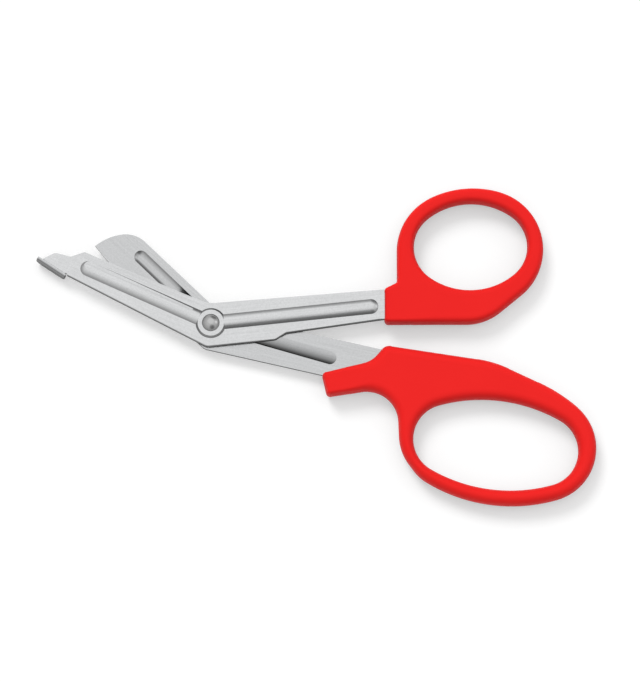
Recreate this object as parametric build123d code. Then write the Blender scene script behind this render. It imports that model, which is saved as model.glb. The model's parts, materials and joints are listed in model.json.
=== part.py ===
from build123d import *
from math import acos, atan2, cos, degrees, hypot, radians, sin
import os

# Riveted bandage shears with angled blades: two pressed steel blades that cross
# at one rivet, and a moulded loop handle on the tang of each blade.
# The outlines are drawn about the rivet's axis, with +X towards the handles,
# +Y towards the thumb loop and +Z towards the viewer. At the end the whole
# part moves so that its origin is the middle of its footprint, on the table.
# Lengths are in millimetres and angles in degrees from +X. "Along" and "across"
# are measured from the rivet, along and to the left of the stated axis.

# Sheet and pressings of both blades
sheet = 1.5
blade_gap = 0.06                # running gap between the two flat inner faces
rib_half_width = 2.4
rib_height = 0.85
groove_half_width = 2.1         # the hollow that the rib leaves on the inner face
groove_depth = 0.75
groove_wall_run = 0.5           # how far the steep wall of the shank's groove leans
outer_edge_round = 0.45         # roll of the front blade's lower edge on its outer face
boss_radius = 4.85
boss_flank = 0.65               # how far the boss's side leans in
boss_hollow_radius = 4.1
bevel_width = 2.2               # shallow ground face along each cutting edge
bevel_land = 0.9                # steel left at the edge itself
bevel_start = 7.0               # from the rivet, where the grinding runs out
run_out_slope = 8.0             # of the ground face where it runs out

# Front blade: its blade half
front_blade_angle = 157.0
front_edge_across = -5.5        # cutting edge, parallel to the axis
front_edge_length = 46.3        # to the shoulder before the probe
front_back_at_probe = 3.7
front_back_at_elbow = 7.4
front_rib_angle = 155.8
front_rib_margin = 3.2          # between the rib's end and the shoulder
shoulder_run = 3.3              # from the shoulder to its foot, along the axis
probe_step_across = -2.3
probe_flat = 5.2                # from the shoulder's foot to the nose
probe_nose_across = -1.6
shoulder_round = 1.0
probe_hollow_round = 2.2
probe_nose_round = 2.6

# Front blade: the probe's foot, which folds down off the blade's back to the table
foot_reach = 2.8                # beyond the nose, along the axis
foot_length = 8.7
foot_overhang = 1.7             # beyond the end of the fold
foot_across_tip = 1.8
foot_across_root = 3.4
foot_thickness = 1.1            # pressed thinner than the sheet
fold_inside_radius = 0.25
foot_corner_round = 2.2
notch_radius = 0.55             # relief where the fold starts

# Front blade: its shank half
front_shank_angle = 6.0
front_upper_at_elbow = 6.4
front_upper_at_collar = 5.05
front_lower_across = -7.5
front_step_along = 19.9         # here the edge steps in
front_step_length = 3.6
front_lower_after_step = -5.7
front_lower_at_collar = -4.5
front_shank_rib_reach = 51.2
neck_round = 8.0
elbow_round = 3.5
step_round = 2.0

# Back blade: its blade half
back_blade_angle = 137.5
back_edge_across = 7.3
back_edge_length = 38.8         # where the edge starts to turn in to the tip
back_tip_run = 5.7              # from there to the tip, along and across the axis
back_tip_inset = 0.85
back_spine_across = -5.3
back_spine_at_elbow = -4.6
back_nose_run = 5.0             # from the spine's end to where the edge turns in
back_crown_run = 4.0            # from the nose's highest point to the tip
back_crown_across = -2.35
back_toe_round = 12.0
back_rib_angle = 136.0
back_rib_reach = 31.3

# Back blade: its shank half
back_shank_angle = -12.8
back_upper_across = 4.0
back_lower_across = -8.3
back_shank_rib_angle = -16.1
back_shank_rib_reach = 39.4
back_eye_radius = 6.0           # steel left round the rivet on the inner bend

# Rivet
rivet_radius = 1.6
rivet_head_radius = 2.8
rivet_head_height = 1.45
rivet_tail_radius = 2.5
rivet_tail_height = 1.2
rivet_play = 0.04               # clearance in the back blade's hole and under the tail

# Both handles
handle_thickness = 8.0
handle_round = 1.6              # long edges
collar_round = 1.4              # rim of the face that the steel enters

# Thumb handle: its opening and its loop are ovals of four arcs
thumb_opening_centre = (82.85, 24.95)
thumb_opening_half_length = 18.1
thumb_opening_half_width = 14.2
thumb_opening_end_radius = 12.2
thumb_opening_tilt = 2.5
thumb_end_wall = 5.35
thumb_side_wall = 5.8
thumb_loop_end_radius = 19.2
thumb_loop_shift = (-0.2, -1.15)    # from the opening's centre to the loop's
thumb_loop_tilt = 5.2
collar_start = 55.2
collar_top = 11.1
collar_shoulder = 13.1
collar_shoulder_round = 1.2
thumb_base = -0.15
thumb_heel = 87.5               # corner of the base, before the loop sweeps up
thumb_heel_round = 17.5

# Finger handle: its opening and its loop are ovals of four arcs
finger_opening_start = (64.4, -35.7)    # its end towards the blades
finger_opening_half_length = 26.2
finger_opening_half_width = 14.3
finger_opening_end_radius = 11.3
finger_opening_tilt = -7.3
finger_end_wall = 7.65
finger_side_wall = 7.2
finger_loop_end_radius = 17.3
finger_loop_shift = (-1.6, 2.7)
finger_loop_tilt = -12.5
finger_neck = (59.9, -41.3)     # corner below the straight side of the loop's near end
finger_join_run = 14.4          # from the loop's near end to where the neck's line meets it
finger_neck_round = 16.0
finger_join_round = 14.0
tongue_tip_upper = (35.2, -16.1)
tongue_tip_lower = (36.9, -23.6)
tongue_upper_bend = (51.2, -12.1)
tongue_upper_round = 8.0
tongue_lower_corner = (59.1, -20.3)
tongue_lower_round = 10.0
finger_peak = (55.5, -7.0)
finger_peak_round = 3.0
finger_back_bend = (90.0, -12.3)
finger_back_round = 35.0

# Tangs, which the handles are moulded over
tang_entry = 1.3                # full-width steel inside the thumb collar
tang_width = 6.0
tang_round = 1.5
front_tang_length = 24.0        # beyond the collar's face
front_tang_height = 4.4         # its middle, above the rivet's axis
back_shoulder_upper = 56.5      # where the full width ends inside the handle
back_shoulder_lower = 50.0
back_tang_reach = 76.0
back_tang_across = -2.6

# Levels, worked out from the sizes above
middle = handle_thickness / 2
front_inner = middle + blade_gap / 2
front_outer = front_inner + sheet
back_inner = middle - blade_gap / 2
back_outer = back_inner - sheet
through = 2 * (sheet + rib_height)      # longer than any hole through a blade

# Places along the front blade's axis, worked out from its lengths
step_along = front_edge_length + shoulder_run
nose_along = step_along + probe_flat
fold_end = (nose_along + foot_reach, foot_across_tip)
fold_start = (fold_end[0] - foot_length, foot_across_root)

# Middle of the finger opening, worked out so that it grows away from the blades
opening_run = finger_opening_half_length * cos(radians(finger_opening_tilt))
opening_rise = finger_opening_half_length * sin(radians(finger_opening_tilt))
finger_opening_centre = (finger_opening_start[0] + opening_run, finger_opening_start[1] + opening_rise)


def turned(angle, along, across):
    """Point in the XY plane from distances along and across an axis through the rivet."""
    c, s = cos(radians(angle)), sin(radians(angle))
    return (along * c - across * s, along * s + across * c)


def crossing(p, q, r, s):
    """Where the line through p and q meets the line through r and s."""
    ax, ay = q[0] - p[0], q[1] - p[1]
    bx, by = s[0] - r[0], s[1] - r[1]
    share = ((r[0] - p[0]) * by - (r[1] - p[1]) * bx) / (ax * by - ay * bx)
    return (p[0] + share * ax, p[1] + share * ay)


def midpoint(p, q):
    return ((p[0] + q[0]) / 2, (p[1] + q[1]) / 2)


def rounded(face, corners):
    """Face with the corner nearest to each given point rounded to its radius."""
    for point, radius in corners:
        corner = face.vertices().sort_by_distance(Vector(*point))[0]
        face = fillet(corner, radius)
    return face


def bar(angle, reach, half_width, height):
    """Ball-ended rod sunk along an axis until it shows above z = 0 as a low round rib."""
    radius = (half_width**2 + height**2) / (2 * height)
    ball = Sphere(radius)
    rod = Pos(reach / 2, 0, 0) * Rot(0, 90, 0) * Cylinder(radius, reach)
    whole = rod + ball + Pos(reach, 0, 0) * ball
    return Rot(0, 0, angle) * Pos(0, 0, height - radius) * whole


def dished_disc(radius, height):
    """Flat-topped disc with a sloping side, standing on z = 0."""
    return Pos(0, 0, height / 2) * Cone(radius, radius - boss_flank, height)


def leaning_groove(angle, reach):
    """Hollow with a round end that slopes down gently from one side to a steep wall."""
    half = groove_half_width
    lowest = (groove_wall_run - half, groove_depth)
    slope = Polyline((half, -sheet), (half, 0), lowest, (-half, 0), (-half, -sheet), close=True)
    section_plane = Plane(origin=(0, 0, 0), x_dir=(0, 1, 0), z_dir=(1, 0, 0))
    trough = extrude(section_plane * make_face(slope), amount=reach + half)
    slot = extrude(SlotCenterToCenter(reach, 2 * half), amount=sheet, both=True)
    return Rot(0, 0, angle) * (trough & Pos(reach / 2, 0, 0) * slot)


def pressed_sheet(flat, ribs, grooves):
    """Sheet from z = 0 to its thickness, with ribs and a boss pressed up and hollow behind."""
    raised = dished_disc(boss_radius, rib_height)
    hollow = dished_disc(boss_hollow_radius, groove_depth)
    for angle, reach in ribs:
        raised += bar(angle, reach, rib_half_width, rib_height)
    for groove in grooves:
        hollow += groove
    raised = split(raised, bisect_by=Plane.XY.offset(-sheet / 2), keep=Keep.TOP)
    return flat + Pos(0, 0, sheet) * raised - hollow


def edge_grinding(angle, end, across):
    """Wedge that is ground off the outer face along a cutting edge. It runs out near the rivet."""
    inward = -bevel_width if across > 0 else bevel_width
    drop = sheet - bevel_land
    low = (across - inward, bevel_land - drop)
    high = (across + 2 * inward, sheet + drop)
    section = make_face(Polyline(low, high, (low[0], high[1]), close=True))
    start_plane = Plane(origin=(bevel_start, 0, 0), x_dir=(0, 1, 0), z_dir=(1, 0, 0))
    wedge = extrude(start_plane * section, amount=end - bevel_start)
    slope = radians(run_out_slope)
    run_out = Plane(origin=(bevel_start, 0, sheet), z_dir=(sin(slope), 0, cos(slope)))
    return Rot(0, 0, angle) * split(wedge, bisect_by=run_out, keep=Keep.TOP)


def front_outline():
    angle = front_blade_angle
    edge_root = turned(angle, 0, front_edge_across)
    edge_end = turned(angle, front_edge_length, front_edge_across)
    step = turned(angle, step_along, probe_step_across)
    nose = turned(angle, nose_along, probe_nose_across)
    back_end = turned(angle, fold_start[0] - notch_radius, front_back_at_probe)
    back_root = turned(angle, 0, front_back_at_elbow)
    angle = front_shank_angle
    upper_root = turned(angle, 0, front_upper_at_elbow)
    upper_end = turned(angle, collar_start + tang_entry, front_upper_at_collar)
    lower_root = turned(angle, 0, front_lower_across)
    step_in = turned(angle, front_step_along, front_lower_across)
    step_out = turned(angle, front_step_along + front_step_length, front_lower_after_step)
    lower_end = turned(angle, collar_start + tang_entry, front_lower_at_collar)
    neck = crossing(edge_root, edge_end, upper_root, upper_end)
    elbow = crossing(back_root, back_end, lower_root, step_in)
    fold = [turned(front_blade_angle, *fold_end), turned(front_blade_angle, *fold_start)]
    points = [neck, edge_end, step, nose, *fold, back_end, elbow, step_in, step_out, lower_end, upper_end]
    corners = [(neck, neck_round), (edge_end, shoulder_round), (step, probe_hollow_round)]
    corners += [(nose, probe_nose_round), (elbow, elbow_round)]
    corners += [(step_in, step_round), (step_out, step_round)]
    return rounded(make_face(Polyline(*points, close=True)), corners)


def front_tang():
    start = collar_start - tang_width / 2
    end = collar_start + front_tang_length
    strip = Rectangle(end - start, tang_width)
    return Pos((start + end) / 2, front_tang_height) * fillet(strip.vertices(), tang_round)


def probe_foot():
    """The bend and the flange of the probe's foot, which reaches down to the table."""
    inside = fold_inside_radius
    outside = inside + foot_thickness
    bend_out = CenterArc((0, -inside), outside, 90, -90)
    bend_in = CenterArc((0, -inside), inside, 0, 90)
    down_out = Line(bend_out @ 1, (outside, -front_inner))
    sole = Line(down_out @ 1, (inside, -front_inner))
    up_in = Line(sole @ 1, bend_in @ 0)
    root = Line(bend_in @ 1, bend_out @ 0)
    section = make_face([bend_out, down_out, sole, up_in, bend_in, root])
    start = turned(front_blade_angle, *fold_start)
    end = turned(front_blade_angle, *fold_end)
    along = Vector(end[0] - start[0], end[1] - start[1])
    out = Vector(0, 0, 1).cross(along)
    length = along.length + foot_overhang
    flange = extrude(Plane(origin=start, x_dir=out, z_dir=along) * section, amount=length)
    sole_edges = flange.edges().group_by(Axis.Z)[0]
    return fillet(sole_edges.sort_by(SortBy.LENGTH)[:2], foot_corner_round)


def front_blade():
    flat = extrude(front_outline() + front_tang(), amount=sheet)
    lower_middle = turned(front_shank_angle, front_step_along / 2, front_lower_across)
    outer_edges = flat.edges().group_by(Axis.Z)[-1]
    lower_edge = outer_edges.sort_by_distance(Vector(*lower_middle, sheet))[0]
    flat = fillet(lower_edge, outer_edge_round)
    rib_reach = front_edge_length - front_rib_margin
    ribs = [(front_rib_angle, rib_reach), (front_shank_angle, front_shank_rib_reach)]
    grooves = [bar(angle, reach, groove_half_width, groove_depth) for angle, reach in ribs]
    blade = pressed_sheet(flat, ribs, grooves)
    grinding = edge_grinding(front_blade_angle, step_along, front_edge_across)
    notch_place = Pos(*turned(front_blade_angle, fold_start[0], front_back_at_probe))
    notch = notch_place * Cylinder(notch_radius, 2 * through)
    rivet_hole = Cylinder(rivet_radius, 2 * through)
    return Pos(0, 0, front_inner) * (blade - grinding - notch + probe_foot() - rivet_hole)


def back_outline():
    angle = back_blade_angle
    tip = turned(angle, back_edge_length + back_tip_run, back_edge_across - back_tip_inset)
    crown = turned(angle, back_edge_length + back_tip_run - back_crown_run, back_crown_across)
    toe = turned(angle, back_edge_length, back_edge_across)
    edge_root = turned(angle, 0, back_edge_across)
    spine_end = turned(angle, back_edge_length - back_nose_run, back_spine_across)
    spine_root = turned(angle, 0, back_spine_at_elbow)
    angle = back_shank_angle
    upper_root = turned(angle, 0, back_upper_across)
    upper_end = turned(angle, back_shoulder_upper, back_upper_across)
    lower_root = turned(angle, 0, back_lower_across)
    lower_end = turned(angle, back_shoulder_lower, back_lower_across)
    elbow = crossing(toe, edge_root, lower_root, lower_end)
    bend = crossing(spine_end, spine_root, upper_root, upper_end)
    sides = Polyline(tip, toe, elbow, lower_end, upper_end, bend, spine_end)
    back_of_nose = TangentArc(spine_end, crown, tangent=Vector(*spine_end) - Vector(*bend))
    front_of_nose = TangentArc(crown, tip, tangent=back_of_nose % 1)
    face = make_face([*sides.edges(), back_of_nose, front_of_nose])
    face = rounded(face, [(toe, back_toe_round), (elbow, elbow_round)])
    return face + Circle(back_eye_radius)


def back_tang():
    start = back_shoulder_lower - tang_width / 2
    strip = Rectangle(back_tang_reach - start, tang_width)
    middle_point = turned(back_shank_angle, (start + back_tang_reach) / 2, back_tang_across)
    return Pos(*middle_point) * Rot(0, 0, back_shank_angle) * fillet(strip.vertices(), tang_round)


def back_blade():
    ribs = [(back_rib_angle, back_rib_reach), (back_shank_rib_angle, back_shank_rib_reach)]
    grooves = [bar(*ribs[0], groove_half_width, groove_depth), leaning_groove(*ribs[1])]
    flat = extrude(back_outline() + back_tang(), amount=sheet)
    blade = pressed_sheet(flat, ribs, grooves)
    blade -= edge_grinding(back_blade_angle, back_edge_length + back_tip_run, back_edge_across)
    blade -= Cylinder(rivet_radius + rivet_play, 2 * through)
    return Pos(0, 0, back_inner) * mirror(blade, about=Plane.XY)


def rivet():
    """Domed head on the front boss, plain shank, and a tail spread under the back boss."""
    seat = front_outer + rib_height
    tail_seat = back_outer - rib_height - rivet_play
    top = (0, seat + rivet_head_height)
    bottom = (0, tail_seat - rivet_tail_height)
    head_rim = (rivet_head_radius, seat)
    tail_rim = (rivet_tail_radius, tail_seat)
    dome = TangentArc(top, head_rim, tangent=(1, 0))
    sides = Polyline(head_rim, (rivet_radius, seat), (rivet_radius, tail_seat), tail_rim)
    tail = TangentArc(bottom, tail_rim, tangent=(1, 0))
    section = make_face([dome, *sides.edges(), tail, Line(bottom, top)])
    return revolve(Plane.XZ * section, Axis.Z)


def side_radius(half_length, half_width, end_radius):
    """Radius of the two long arcs of an oval, which meet its end arcs without a corner."""
    length_share = half_length**2 - 2 * half_length * end_radius
    return (length_share + half_width**2) / (2 * (half_width - end_radius))


def oval(half_length, half_width, end_radius, first=0.0, last=360.0):
    """Arcs of a four-arc oval about the origin, between two directions of its outward normal."""
    long_radius = side_radius(half_length, half_width, end_radius)
    end_middle = half_length - end_radius
    side_middle = half_width - long_radius
    turn = degrees(atan2(-side_middle, end_middle))
    arcs = []
    for half in range(-1, 3):
        sign = (-1) ** half
        sectors = [(-turn, turn, (sign * end_middle, 0), end_radius)]
        sectors.append((turn, 180 - turn, (0, sign * side_middle), long_radius))
        for start, stop, centre, radius in sectors:
            start = max(start + 180 * half, first)
            stop = min(stop + 180 * half, last)
            if stop > start:
                arcs.append(CenterArc(centre, radius, start, stop - start))
    return arcs


def touching(point, centre, radius, side):
    """Direction from a circle's centre to where a line from an outside point touches it."""
    x, y = point[0] - centre[0], point[1] - centre[1]
    return degrees(atan2(y, x)) + side * degrees(acos(radius / hypot(x, y)))


def moulded(outline, opening, mouth):
    """Handle from its outline: rounded long edges, a rounded loop, and a rimmed end face."""
    body = extrude(outline - opening, amount=handle_thickness)
    mouth_middle = Vector(*midpoint(*mouth), middle)
    mouth_edges = body.faces().sort_by_distance(mouth_middle)[0].edges()
    levels = body.edges().group_by(Axis.Z)
    body = fillet(levels[0] + levels[-1] - mouth_edges, handle_round)
    end_face = body.faces().sort_by_distance(mouth_middle)[0]
    return fillet(end_face.edges(), collar_round)


def thumb_handle(blade):
    half_length = thumb_opening_half_length + thumb_end_wall
    half_width = thumb_opening_half_width + thumb_side_wall
    end_radius = thumb_loop_end_radius
    place = Pos(*thumb_opening_centre) * Pos(*thumb_loop_shift) * Rot(0, 0, thumb_loop_tilt)
    lower = (collar_start, thumb_base)
    heel = (thumb_heel, thumb_base)
    seen = (place.inverse() * Pos(*heel)).position
    first = touching((seen.X, seen.Y), (half_length - end_radius, 0), end_radius, 1)
    last = 180 - thumb_loop_tilt
    loop = [place * arc for arc in oval(half_length, half_width, end_radius, first, last)]
    shoulder = ((loop[-1] @ 1).X, collar_shoulder)
    sides = Polyline(loop[-1] @ 1, shoulder, (collar_start, collar_top), lower, heel, loop[0] @ 0)
    outline = make_face([*loop, *sides.edges()])
    outline = rounded(outline, [(heel, thumb_heel_round), (shoulder, collar_shoulder_round)])
    hole = oval(thumb_opening_half_length, thumb_opening_half_width, thumb_opening_end_radius)
    opening = Pos(*thumb_opening_centre) * Rot(0, 0, thumb_opening_tilt) * make_face(hole)
    return moulded(outline, opening, (lower, (collar_start, collar_top))) - blade


def finger_handle(blade):
    half_length = finger_opening_half_length + finger_end_wall
    half_width = finger_opening_half_width + finger_side_wall
    end_radius = finger_loop_end_radius
    place = Pos(*finger_opening_centre) * Pos(*finger_loop_shift) * Rot(0, 0, finger_loop_tilt)
    long_radius = side_radius(half_length, half_width, end_radius)
    seen = (place.inverse() * Pos(*finger_back_bend)).position
    last = touching((seen.X, seen.Y), (0, half_width - long_radius), long_radius, -1)
    first = -degrees(acos((finger_join_run - half_length) / long_radius))
    loop = [place * arc for arc in oval(half_length, half_width, end_radius, first, last)]
    join = ((loop[0] @ 0).X, (loop[0] @ 0).Y)
    tongue = [tongue_lower_corner, tongue_tip_lower, tongue_tip_upper, tongue_upper_bend]
    sides = Polyline(join, finger_neck, *tongue, finger_peak, finger_back_bend, loop[-1] @ 1)
    corners = [(join, finger_join_round), (finger_neck, finger_neck_round)]
    corners += [(tongue_lower_corner, tongue_lower_round), (tongue_upper_bend, tongue_upper_round)]
    corners += [(finger_peak, finger_peak_round), (finger_back_bend, finger_back_round)]
    outline = rounded(make_face([*loop, *sides.edges()]), corners)
    hole = oval(finger_opening_half_length, finger_opening_half_width, finger_opening_end_radius)
    opening = Pos(*finger_opening_centre) * Rot(0, 0, finger_opening_tilt) * make_face(hole)
    return moulded(outline, opening, (tongue_tip_lower, tongue_tip_upper)) - blade


front = front_blade()
back = back_blade()
parts = {
    "front_blade": front,
    "back_blade": back,
    "pivot_rivet": rivet(),
    "thumb_handle": thumb_handle(front),
    "finger_handle": finger_handle(back),
}
box = Compound(children=[Compound(part.wrapped) for part in parts.values()]).bounding_box()
footprint_middle = box.center()
shift = Pos(-footprint_middle.X, -footprint_middle.Y, -box.min.Z)
os.makedirs("parts", exist_ok=True)
for name, part in parts.items():
    placed = shift * part
    export_step(placed, f"parts/{name}.step")
    print(name, len(placed.solids()), round(placed.volume, 1))
print("size", box.size)
print("rivet axis at", round(-footprint_middle.X, 3), round(-footprint_middle.Y, 3))
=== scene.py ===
import json
import math
import bmesh
import bpy
import numpy as np
from mathutils.geometry import delaunay_2d_cdt
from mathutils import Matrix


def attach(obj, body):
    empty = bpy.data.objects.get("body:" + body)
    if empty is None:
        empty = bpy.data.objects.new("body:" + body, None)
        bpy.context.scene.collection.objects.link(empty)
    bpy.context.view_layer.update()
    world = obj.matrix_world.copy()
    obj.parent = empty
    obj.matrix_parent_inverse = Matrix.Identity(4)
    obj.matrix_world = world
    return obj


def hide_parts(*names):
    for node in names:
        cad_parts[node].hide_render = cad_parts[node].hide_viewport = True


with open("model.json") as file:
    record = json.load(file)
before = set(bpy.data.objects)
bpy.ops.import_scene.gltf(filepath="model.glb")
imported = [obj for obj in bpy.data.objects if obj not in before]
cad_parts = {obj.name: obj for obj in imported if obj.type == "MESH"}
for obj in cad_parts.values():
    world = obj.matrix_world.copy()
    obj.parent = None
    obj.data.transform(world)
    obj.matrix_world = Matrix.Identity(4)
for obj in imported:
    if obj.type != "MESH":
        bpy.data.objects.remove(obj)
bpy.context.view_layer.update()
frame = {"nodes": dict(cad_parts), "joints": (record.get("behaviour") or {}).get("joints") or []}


# Front blade: the lower-left blade with its shank, one piece of 1.5 mm stainless
# sheet, blanked, pressed with a rib and a boss, and satin brushed along its length.
# It carries the rivet and the thumb handle.
def linear(colour):
    """Linear colour of an sRGB hex: each channel c becomes ((c + 0.055) / 1.055) to the power 2.4."""
    channels = [int(colour[i:i + 2], 16) / 255 for i in (0, 2, 4)]
    return [c / 12.92 if c <= 0.04045 else ((c + 0.055) / 1.055) ** 2.4 for c in channels] + [1.0]


def add_node(tree, kind, inputs=None, **settings):
    """Adds a node with its settings. An input that is given a socket is linked to it, and any
    other input is given its value."""
    node = tree.nodes.new(kind)
    for name, value in settings.items():
        setattr(node, name, value)
    for name, value in (inputs or {}).items():
        if isinstance(value, bpy.types.NodeSocket):
            tree.links.new(value, node.inputs[name])
        else:
            node.inputs[name].default_value = value
    return node


def bare_material(name):
    """A new material and its node tree, with no node in it."""
    material = bpy.data.materials.new(name)
    material.use_nodes = True
    material.node_tree.nodes.clear()
    return material, material.node_tree


def brushed_steel(name, halves, base, roughness, inner_face, up):
    """Satin stainless, bright on flats and crowns. The lines run along each half of the blade:
    each is a noise squeezed along the half's angle, and the two halves meet at the rivet. The
    flanks of the ribs are painted greyer as painted shade, and so is a hollow, the deeper it lies
    under the inner face, most of all in the shank's half. Cut edges are dark for their own grain
    and with painted shade. The inner face looks up where up is 1 and down where it is -1. A
    surface's slope is known by how far it faces up or down."""
    material, tree = bare_material(name)
    place = add_node(tree, "ShaderNodeTexCoord").outputs["Object"]
    pivot = frame["joints"][0]["pos_m"]
    centred = add_node(tree, "ShaderNodeVectorMath", {0: place, 1: pivot}, operation="SUBTRACT").outputs[0]
    right = add_node(tree, "ShaderNodeSeparateXYZ", {0: centred}).outputs["X"]
    height = add_node(tree, "ShaderNodeSeparateXYZ", {0: place}).outputs["Z"]
    facing = add_node(tree, "ShaderNodeTexCoord").outputs["Normal"]
    upright = add_node(tree, "ShaderNodeSeparateXYZ", {0: facing}).outputs["Z"]
    level = add_node(tree, "ShaderNodeMath", {0: upright}, operation="ABSOLUTE").outputs[0]

    # Brush lines over the grain of the sheet.
    grain = []
    for angle in halves:
        turned = add_node(tree, "ShaderNodeMapping", {"Vector": centred, "Rotation": (0, 0, -math.radians(angle))},
                          vector_type="POINT").outputs[0]
        squeezed = add_node(tree, "ShaderNodeMapping", {"Vector": turned, "Scale": (brush_squeeze, 1, 1)}).outputs[0]
        noise = add_node(tree, "ShaderNodeTexNoise", {"Vector": squeezed, "Scale": 1 / brush_spacing,
                                                      "Detail": 3.0, "Roughness": 0.6})
        grain.append(noise.outputs["Fac"])
    side = add_node(tree, "ShaderNodeMapRange", {"Value": right, "From Min": -turn_zone,
                                                 "From Max": turn_zone}).outputs[0]
    lines = add_node(tree, "ShaderNodeMix", {0: side, 2: grain[0], 3: grain[1]}, data_type="FLOAT").outputs[0]
    speckle = add_node(tree, "ShaderNodeTexNoise", {"Vector": centred, "Scale": 1 / speckle_size,
                                                    "Detail": 2.0}).outputs["Fac"]
    mixed = add_node(tree, "ShaderNodeMix", {0: speckle_share, 2: lines, 3: speckle}, data_type="FLOAT").outputs[0]
    tone = add_node(tree, "ShaderNodeMapRange", {"Value": mixed, "From Min": noise_span[0], "From Max": noise_span[1],
                                                 "To Min": tone_span[0], "To Max": tone_span[1]}).outputs[0]
    face = add_node(tree, "ShaderNodeVectorMath", {0: linear(base)[:3], "Scale": tone}, operation="SCALE").outputs[0]

    # Painted shade in the hollows, then painted shade on the flanks, then the cut edges, dark for their own grain and
    # with painted shade, each over the brushed face.
    depth = add_node(tree, "ShaderNodeMapRange", {"Value": height, "From Min": inner_face - up * hollow_start,
                                                  "From Max": inner_face - up * hollow_depth}).outputs[0]
    depth = add_node(tree, "ShaderNodeMath", {0: depth, 1: hollow_power}, operation="POWER").outputs[0]
    open_side = add_node(tree, "ShaderNodeMapRange", {"Value": upright, "From Min": up * open_slope[0],
                                                      "From Max": up * open_slope[1]}).outputs[0]
    share = add_node(tree, "ShaderNodeMapRange", {"Value": side, "To Min": blade_hollow_share}).outputs[0]
    hollow_shade = add_node(tree, "ShaderNodeMath", {0: depth, 1: open_side}, operation="MULTIPLY").outputs[0]
    hollow_shade = add_node(tree, "ShaderNodeMath", {0: hollow_shade, 1: share}, operation="MULTIPLY").outputs[0]
    face = add_node(tree, "ShaderNodeMix", {0: hollow_shade, 6: face, 7: linear(hollow_shade_grey)}, data_type="RGBA").outputs[2]
    # Painted shade: the ribs' flanks grow greyer the steeper they are.
    flank = add_node(tree, "ShaderNodeMapRange", {"Value": level, "From Min": flank_slope[0],
                                                  "From Max": flank_slope[1], "To Max": flank_share}).outputs[0]
    face = add_node(tree, "ShaderNodeMix", {0: flank, 6: face, 7: linear(flank_shade_grey)}, data_type="RGBA").outputs[2]
    # The cut edges' own dull grain, painted darker as painted shade.
    polish_and_edge_shade = add_node(tree, "ShaderNodeMapRange", {"Value": level, "From Min": edge_slope[0],
                                                   "From Max": edge_slope[1]}).outputs[0]
    past_fold = add_node(tree, "ShaderNodeMapRange", {"Value": right, "From Min": fold_run,
                                                      "From Max": fold_run - fold_blend,
                                                      "To Max": foot_polish}).outputs[0]
    polish_and_edge_shade = add_node(tree, "ShaderNodeMath", {0: polish_and_edge_shade, 1: past_fold}, operation="MAXIMUM").outputs[0]
    colour = add_node(tree, "ShaderNodeMix", {0: polish_and_edge_shade, 6: linear(cut_edge_grain_and_shade), 7: face}, data_type="RGBA").outputs[2]

    cloud = add_node(tree, "ShaderNodeTexNoise", {"Vector": centred, "Scale": belt_clouds,
                                                  "Detail": 2.0}).outputs["Fac"]
    rough = add_node(tree, "ShaderNodeMapRange", {"Value": cloud, "From Min": noise_span[0], "From Max": noise_span[1],
                                                  "To Min": roughness - belt_spread,
                                                  "To Max": roughness + belt_spread}).outputs[0]
    rough = add_node(tree, "ShaderNodeMix", {0: polish_and_edge_shade, 2: edge_roughness, 3: rough}, data_type="FLOAT").outputs[0]
    bump = add_node(tree, "ShaderNodeBump", {"Height": lines, "Strength": brush_bump,
                                             "Distance": brush_depth}).outputs[0]
    shader = add_node(tree, "ShaderNodeBsdfPrincipled", {"Base Color": colour, "Metallic": 1.0,
                                                         "Roughness": rough, "Normal": bump})
    add_node(tree, "ShaderNodeOutputMaterial", {"Surface": shader.outputs[0]})
    return material


def dress(node, material):
    """Gives a CAD node its material in place of the plain one."""
    mesh = frame["nodes"][node].data
    mesh.materials.clear()
    mesh.materials.append(material)


noise_span = (0.3, 0.7)     # nearly all of a noise's values lie between these
brush_spacing = 0.0005      # real grit lines are about 0.1 mm apart; drawn coarser so that they show
brush_squeeze = 0.03        # a line is about 33 times as long as it is wide
brush_depth = 0.00001
brush_bump = 0.35
turn_zone = 0.004           # each side of the rivet, where the lines of the two halves mix
speckle_size = 0.0006       # the rolled sheet's grain, which is finer too, under the brushing
speckle_share = 0.45
tone_span = (0.9, 1.08)     # darkest and brightest of the lines and grain, as shares of the steel's colour
belt_clouds = 90.0          # in a metre: the belt's pressure changes about every 11 mm
belt_spread = 0.03          # and with it the roughness
steel = "D7D8D9"
steel_roughness = 0.24
# Each slope below is how far a surface faces up or down, 0 on an upright wall and 1 on a level face.
hollow_shade_grey = "525252"     # painted shade at the bottom of a hollow
hollow_start = 0.00005      # under the inner face
hollow_depth = 0.0007
hollow_power = 1.6          # so that only the deep part is dark
blade_hollow_share = 0.08   # the painted shade in the blade's half's hollow is faint, nearly as bright as the face
open_slope = (0.2, 0.45)    # the outer face and the cut edges have no hollows
# painted shade on the ribs' steep flanks
flank_shade_grey = "6E6E6E"
flank_slope = (0.96, 0.8)
flank_share = 0.85
cut_edge_grain_and_shade = "444444"         # the broken grain of a blanked edge takes no polish, and is painted darker still as painted shade
edge_slope = (0.15, 0.4)
edge_roughness = 0.7
fold_run = -0.0463          # from the rivet; beyond it lies the folded foot, which the belt half reaches
fold_blend = 0.001
# the rest of the foot's upright face keeps the cut edges' grain and painted shade
foot_polish = 0.45
meeting_level = 0.004       # where the blades slide on each other
inner_gap = 0.00003         # from there to each blade's inner face
front_angles = (157.0, 6.0)     # of the blade's half and the shank's half, in degrees from +X
front_steel = brushed_steel("brushed_stainless_front", front_angles, steel, steel_roughness,
                            meeting_level + inner_gap, -1)
dress("front_blade", front_steel)

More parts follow.
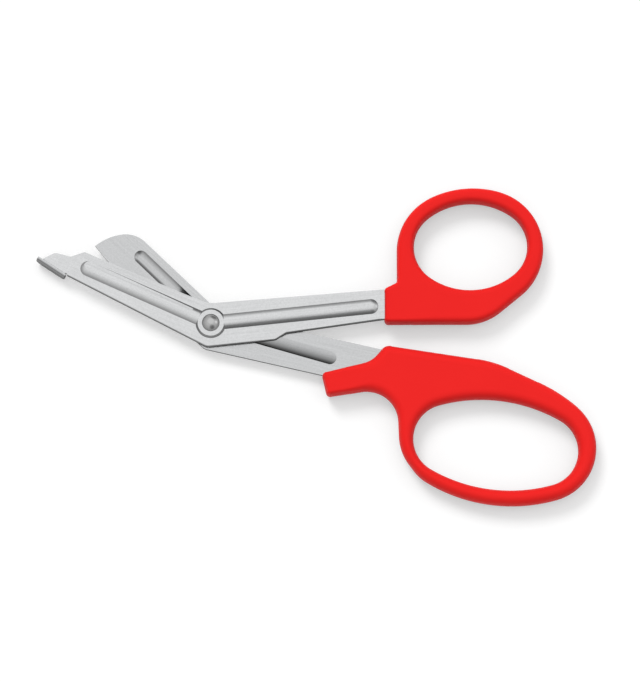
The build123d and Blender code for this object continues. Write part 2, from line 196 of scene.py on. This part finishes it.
# Back blade: the upper-left blade, pressed from the same sheet. Its rib is pressed
# away from the viewer, so the face that shows here has the hollow side of the rib.
# It carries the finger handle.
back_steel_shade_copy = "CBCCCD"     # the same steel, painted a little greyer than the front blade as painted shade
back_angles = (137.5, -12.8)
back_steel = brushed_steel("brushed_stainless_back", back_angles, back_steel_shade_copy, steel_roughness,
                           meeting_level - inner_gap, 1)
dress("back_blade", back_steel)

# Rivet: a turned stainless pin with a domed head, closed over the back blade by
# spreading its tail. The head is polished, so it mirrors the lights, and its rim is painted darker, as painted shade.
scuff_clouds = 900.0        # in a metre; real scuffs are finer, and these are coarse enough to show
haze_span = (0.14, 0.26)
rim_shade_slope = (0.55, 0.95)
polished, tree = bare_material("polished_stainless_rivet")
spot = add_node(tree, "ShaderNodeTexCoord").outputs["Object"]
scuffs = add_node(tree, "ShaderNodeTexNoise", {"Vector": spot, "Scale": scuff_clouds, "Detail": 4.0}).outputs["Fac"]
haze = add_node(tree, "ShaderNodeMapRange", {"Value": scuffs, "To Min": haze_span[0],
                                             "To Max": haze_span[1]}).outputs[0]
facing = add_node(tree, "ShaderNodeTexCoord").outputs["Normal"]
upright = add_node(tree, "ShaderNodeSeparateXYZ", {0: facing}).outputs["Z"]
# Painted shade: the rim is darker the steeper it slopes.
crown = add_node(tree, "ShaderNodeMapRange", {"Value": upright, "From Min": rim_shade_slope[0],
                                              "From Max": rim_shade_slope[1]}).outputs[0]
shade = add_node(tree, "ShaderNodeMix", {0: crown, 6: linear("6A6A6A"), 7: linear("C2C2C2")},
                 data_type="RGBA").outputs[2]
shader = add_node(tree, "ShaderNodeBsdfPrincipled", {"Base Color": shade, "Metallic": 1.0, "Roughness": haze})
add_node(tree, "ShaderNodeOutputMaterial", {"Surface": shader.outputs[0]})
dress("pivot_rivet", polished)

# Thumb handle: polypropylene moulded over the front blade's tang, in a satin red.
# The mould's surface is finely textured, which keeps the gloss soft.
texture_size = 0.0005       # real texture is about 0.1 mm; drawn coarser so that it shows
texture_depth = 0.00002
pigment_clouds = 60.0       # in a metre: the pigment is uneven every 17 mm or so
reds = ("EC1F1E", "F22421")
bounce_grey = "8A7272"
red_plastic, tree = bare_material("moulded_polypropylene_red")
spot = add_node(tree, "ShaderNodeTexCoord").outputs["Object"]
texture = add_node(tree, "ShaderNodeTexNoise", {"Vector": spot, "Scale": 1 / texture_size,
                                                "Detail": 3.0}).outputs["Fac"]
patches = add_node(tree, "ShaderNodeTexNoise", {"Vector": spot, "Scale": pigment_clouds,
                                                "Detail": 2.0}).outputs["Fac"]
tint = add_node(tree, "ShaderNodeMix", {0: patches, 6: linear(reds[0]), 7: linear(reds[1])},
                data_type="RGBA").outputs[2]
# Light that bounces off the red is greyed, because the photographed floor takes no pink.
bounce = add_node(tree, "ShaderNodeLightPath").outputs["Is Diffuse Ray"]
tint = add_node(tree, "ShaderNodeMix", {0: bounce, 6: tint, 7: linear(bounce_grey)}, data_type="RGBA").outputs[2]
bump = add_node(tree, "ShaderNodeBump", {"Height": texture, "Strength": 0.25, "Distance": texture_depth}).outputs[0]
shader = add_node(tree, "ShaderNodeBsdfPrincipled", {"Base Color": tint, "Roughness": 0.5, "IOR": 1.49,
                                                     "Specular IOR Level": 0.12, "Normal": bump})
add_node(tree, "ShaderNodeOutputMaterial", {"Surface": shader.outputs[0]})


def place_object(name, data):
    """A new object of some data, in the scene and at its origin."""
    placed = bpy.data.objects.new(name, data)
    bpy.context.scene.collection.objects.link(placed)
    return placed


def outline(node):
    """Short straight pieces of the line in which the level through a node's middle cuts its
    surface, as starts, ends and outward directions, and that level. Each triangle that crosses
    the level gives the two points where its sides cross it, and each such line is cut into
    equal short pieces."""
    mesh = frame["nodes"][node].data
    place = np.empty(3 * len(mesh.vertices))
    mesh.vertices.foreach_get("co", place)
    mesh.calc_loop_triangles()
    triangle = np.empty(3 * len(mesh.loop_triangles), dtype=int)
    mesh.loop_triangles.foreach_get("vertices", triangle)
    corner = place.reshape(-1, 3)[triangle.reshape(-1, 3)]
    level = (corner[..., 2].min() + corner[..., 2].max()) / 2
    above = corner[..., 2] > level
    corner = corner[above.any(axis=1) & ~above.all(axis=1)]
    above = corner[..., 2] > level
    following = np.roll(corner, -1, axis=1)
    crosses = above != np.roll(above, -1, axis=1)
    rise = np.where(crosses, following[..., 2] - corner[..., 2], 1.0)
    share = (level - corner[..., 2]) / rise
    points = (corner + share[..., None] * (following - corner))[crosses].reshape(-1, 2, 3)[..., :2]
    outward = np.cross(corner[:, 1] - corner[:, 0], corner[:, 2] - corner[:, 0])[:, :2]
    length = np.linalg.norm(points[:, 1] - points[:, 0], axis=1)
    real = length > shortest_line
    points, outward, length = points[real], outward[real], length[real]
    outward /= np.linalg.norm(outward, axis=1)[:, None]
    count = np.ceil(length / outline_step).astype(int)
    line = np.repeat(np.arange(len(count)), count)
    step = np.arange(len(line)) - np.repeat(np.cumsum(count) - count, count)
    run = (points[line, 1] - points[line, 0]) / count[line, None]
    start = points[line, 0] + step[:, None] * run
    return start, start + run, outward[line], level


def depth_inside(point, start, end, outward):
    """Distance from each point to the nearest piece of an outline, less than nothing outside it."""
    run = end - start
    away = point[:, None] - start
    share = np.clip((away * run).sum(axis=2) / (run ** 2).sum(axis=1), 0, 1)
    away -= share[..., None] * run
    distance = np.linalg.norm(away, axis=2)
    nearest = distance.argmin(axis=1)
    rows = np.arange(len(point))
    side = -np.sign((away[rows, nearest] * outward[nearest]).sum(axis=1))
    return side * distance[rows, nearest]


def crowned(name, node, mouth, crown_reach, crown_power):
    """Handle as it leaves the mould: over each point of the node's outline its two faces stand
    off the middle level by half the thickness times (1 - (1 - d / r)^p)^(1 / p), where d is
    the depth inside the outline and r is how far the rounding reaches. The points are rings
    that follow the outline inwards and a square grid within them, joined by triangles."""
    start, end, outward, level = outline(node)

    def reach(point):
        """How far the rounding reaches: mouth_reach near the mouth, crown_reach away from it,
        and a smooth step between, from half a mouth_zone to one and a half."""
        near = np.clip(np.linalg.norm(point - np.array(mouth), axis=1) / mouth_zone - 0.5, 0, 1)
        return mouth_reach + (crown_reach - mouth_reach) * near * near * (3 - 2 * near)

    middle = (start + end) / 2
    inward = (1 - np.cos(np.linspace(0, math.pi / 2, crown_rings + 1)[1:]))[:, None]
    offset = inward * reach(middle)
    ring = (middle - offset[..., None] * outward).reshape(-1, 2)
    kept = depth_inside(ring, start, end, outward) > ring_share * offset.ravel()
    low, high = start.min(axis=0), start.max(axis=0)
    columns, rows = np.arange(low[0], high[0], face_step), np.arange(low[1], high[1], face_step)
    grid = np.stack(np.meshgrid(columns, rows), axis=-1).reshape(-1, 2)
    inside = depth_inside(grid, start, end, outward) > reach(grid) + face_step / 2
    points = np.concatenate([start, end, ring[kept], grid[inside]])
    first = np.arange(len(start))
    pieces = np.column_stack([first, first + len(start)])
    flat = delaunay_2d_cdt(points.tolist(), pieces.tolist(), [], 0, weld)
    sheet, face = np.array(flat[0]), np.array(flat[2])
    face = face[depth_inside(sheet[face].mean(axis=1), start, end, outward) > 0]
    used, face = np.unique(face, return_inverse=True)
    sheet, face = sheet[used], face.reshape(-1, 3)
    depth = np.clip(depth_inside(sheet, start, end, outward) / reach(sheet), 0, 1)
    rise = half_thickness * (1 - (1 - depth) ** crown_power) ** (1 / crown_power)
    upper = np.column_stack([sheet, level + rise])
    lower = np.column_stack([sheet, level - rise])
    mesh = bpy.data.meshes.new(name)
    mesh.from_pydata(np.concatenate([upper, lower]), [], np.concatenate([face, face[:, ::-1] + len(sheet)]))
    shell = bmesh.new()
    shell.from_mesh(mesh)
    bmesh.ops.remove_doubles(shell, verts=shell.verts, dist=weld)
    bmesh.ops.recalc_face_normals(shell, faces=shell.faces)
    shell.to_mesh(mesh)
    shell.free()
    mesh.shade_smooth()
    mesh.materials.append(red_plastic)
    handle = place_object(name, mesh)
    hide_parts(node)
    handle.visible_glossy = False       # the photographed steel mirrors no red
    return handle


shortest_line = 0.000001    # anything shorter is a rounding error
outline_step = 0.0006
face_step = 0.0012
weld = 0.0000001
half_thickness = 0.004
crown_rings = 9
ring_share = 0.97           # a ring's point that comes nearer to another part of the outline is left out
mouth_reach = 0.0014        # the edges are crisper where the steel leaves the handle
mouth_zone = 0.012
thumb_loop = crowned("thumb_handle_moulded", "thumb_handle", (0.0220, 0.0128), 0.0022, 2.8)
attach(thumb_loop, "front_half")

# Finger handle: the same moulding for two or three fingers, over the back blade's tang,
# with softer edges than the thumb's.
finger_loop = crowned("finger_handle_moulded", "finger_handle", (0.0029, -0.0125), 0.0030, 2.5)
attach(finger_loop, "back_half")

# Floor: a matt white table, which takes the soft shadow. What the camera and the
# metal see of it is lifted to white.
reach = 6.0
drop = 0.00005              # under the handles, so that the two never lie in one plane
table_grey = 0.7
table_lift = 0.36
corners = [(-reach, -reach, -drop), (reach, -reach, -drop), (reach, reach, -drop), (-reach, reach, -drop)]
floor_mesh = bpy.data.meshes.new("floor")
floor_mesh.from_pydata(corners, [], [(0, 1, 2, 3)])
floor = place_object("floor", floor_mesh)
white, tree = bare_material("white_table")
rays = add_node(tree, "ShaderNodeLightPath").outputs
seen = rays["Is Camera Ray"]
for kind in ("Is Glossy Ray", "Is Transmission Ray"):
    seen = add_node(tree, "ShaderNodeMath", {0: seen, 1: rays[kind]}, operation="MAXIMUM").outputs[0]
lift = add_node(tree, "ShaderNodeMath", {0: seen, 1: table_lift}, operation="MULTIPLY").outputs[0]
matt = add_node(tree, "ShaderNodeBsdfDiffuse", {"Color": (table_grey, table_grey, table_grey, 1.0)}).outputs[0]
glow = add_node(tree, "ShaderNodeEmission", {"Strength": lift}).outputs[0]
both = add_node(tree, "ShaderNodeAddShader", {0: matt, 1: glow}).outputs[0]
add_node(tree, "ShaderNodeOutputMaterial", {"Surface": both})
floor_mesh.materials.append(white)

# Light: a soft key from the upper left, and a studio that is bright overhead, with a
# panel at the right and a weak one at the lower left. The steel mirrors at least the
# background's white, but for two dark flags, one in front and one behind at the right,
# which deepen the flanks of its ribs.
key = bpy.data.lights.new("key", "SUN")
key.energy = 1.25
key.angle = math.radians(24)
key_object = place_object("key", key)
key_object.rotation_euler = (0, math.radians(43), math.radians(120))
key_object.visible_glossy = False

studio = bpy.data.worlds.new("studio")
bpy.context.scene.world = studio
studio.use_nodes = True
tree = studio.node_tree
tree.nodes.clear()
sky = add_node(tree, "ShaderNodeTexCoord").outputs["Generated"]


def patch(azimuth, tilt, inner, outer, strength):
    """Soft round area of the studio: its full strength inside the inner angle from its middle,
    nothing beyond the outer angle, and a smooth step in the angle's cosine between."""
    a, t = math.radians(azimuth), math.radians(tilt)
    middle = (math.sin(t) * math.cos(a), math.sin(t) * math.sin(a), math.cos(t))
    near = add_node(tree, "ShaderNodeVectorMath", {0: sky, 1: middle}, operation="DOT_PRODUCT").outputs["Value"]
    return add_node(tree, "ShaderNodeMapRange", {"Value": near, "From Min": math.cos(math.radians(outer)),
                                                 "From Max": math.cos(math.radians(inner)), "To Min": 0.0,
                                                 "To Max": strength}, interpolation_type="SMOOTHSTEP").outputs[0]


studio_level = 0.54
overhead = patch(90, 22, 24, 50, 0.72)
right_panel = patch(12, 62, 8, 20, 1.3)
left_panel = patch(236, 54, 14, 40, 0.3)
front_flag = patch(288, 49, 10, 33, 0.68)
corner_flag = patch(66, 74, 10, 32, 0.6)
rays = add_node(tree, "ShaderNodeLightPath").outputs
level = studio_level
for lit in (overhead, right_panel, left_panel):
    level = add_node(tree, "ShaderNodeMath", {0: level, 1: lit}, operation="ADD").outputs[0]
level = add_node(tree, "ShaderNodeMath", {0: level, 1: rays["Is Glossy Ray"]}, operation="MAXIMUM").outputs[0]
flags = add_node(tree, "ShaderNodeMath", {0: front_flag, 1: corner_flag}, operation="ADD").outputs[0]
flags = add_node(tree, "ShaderNodeMath", {0: flags, 1: rays["Is Glossy Ray"]}, operation="MULTIPLY").outputs[0]
level = add_node(tree, "ShaderNodeMath", {0: level, 1: flags}, operation="SUBTRACT").outputs[0]
seen = add_node(tree, "ShaderNodeMath", {0: rays["Is Camera Ray"], 1: rays["Is Transmission Ray"]},
                operation="MAXIMUM").outputs[0]
level = add_node(tree, "ShaderNodeMix", {0: seen, 2: level, 3: 1.0}, data_type="FLOAT").outputs[0]
background = add_node(tree, "ShaderNodeBackground", {"Strength": level}).outputs[0]
add_node(tree, "ShaderNodeOutputWorld", {"Surface": background})

# Camera: above the table, 80 degrees up from the near side, as in the photograph.
aim = np.array([0.00155, 0.00126, 0.0072])
distance = 1.2
tilt = math.radians(10)
picture_height = 682        # pixels
pixels_per_metre = 3150
camera = bpy.data.cameras.new("camera")
camera.lens = camera.sensor_width * distance * pixels_per_metre / picture_height
camera_object = place_object("camera", camera)
camera_object.location = aim + distance * np.array([0, -math.sin(tilt), math.cos(tilt)])
camera_object.rotation_euler = (tilt, 0, 0)
bpy.context.scene.camera = camera_object
bpy.context.scene.view_settings.view_transform = "Standard"
